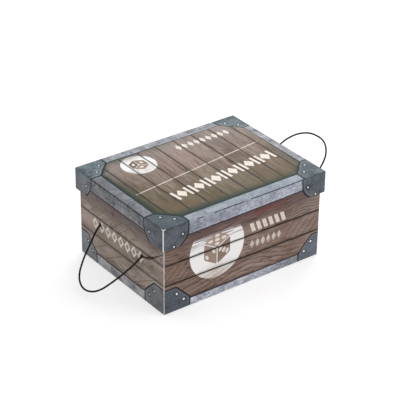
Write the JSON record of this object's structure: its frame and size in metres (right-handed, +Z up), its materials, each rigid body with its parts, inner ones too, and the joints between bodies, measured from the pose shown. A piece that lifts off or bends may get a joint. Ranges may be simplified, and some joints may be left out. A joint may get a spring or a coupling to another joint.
{
  "type": "board game box",
  "caption": "Rectangular rigid board game box with a lift-off lid, printed as a plank crate with metal corners, and a cord loop handle at each end.",
  "frame": {"origin": "middle of the tray's underside, on the surface that the box stands on", "axes": "+X along the box's long side, towards its right end; +Y to the back; +Z up, the way the lid lifts"},
  "size_m": [0.3124, 0.16, 0.104],
  "materials": {
    "greyboard": "raw grey board, matt",
    "tray_print": "printed wrap paper, satin laminate",
    "lid_print": "printed wrap paper, satin laminate",
    "corner_stay": "gummed kraft paper, matt",
    "elastic_cord": "braided sheath over an elastic core, matt"
  },
  "bodies": {
    "tray": {"tray_board": "greyboard", "tray_wrap": "tray_print", "tray_stay_front_left": "corner_stay", "tray_stay_front_right": "corner_stay", "tray_stay_back_left": "corner_stay", "tray_stay_back_right": "corner_stay", "left_cord_ends": "elastic_cord", "left_front_knot": "elastic_cord", "left_back_knot": "elastic_cord", "right_cord_ends": "elastic_cord", "right_front_knot": "elastic_cord", "right_back_knot": "elastic_cord"},
    "lid": {"lid_board": "greyboard", "lid_wrap": "lid_print", "lid_stay_front_left": "corner_stay", "lid_stay_front_right": "corner_stay", "lid_stay_back_left": "corner_stay", "lid_stay_back_right": "corner_stay"},
    "left_handle": {"left_cord_loop": "elastic_cord"},
    "right_handle": {"right_cord_loop": "elastic_cord"}
  },
  "joints": [
    {"name": "lid_lift", "type": "slide", "parent": "tray", "child": "lid", "axis": [0, 0, 1], "range_m": [0, 0.12]},
    {"name": "left_handle_swing", "type": "hinge", "parent": "tray", "child": "left_handle", "pos_m": [-0.1027, 0, 0.0525], "axis": [0, 1, 0], "range_deg": [-10, 125]},
    {"name": "right_handle_swing", "type": "hinge", "parent": "tray", "child": "right_handle", "pos_m": [0.1027, 0, 0.0525], "axis": [0, -1, 0], "range_deg": [-76, 47]}
  ]
}
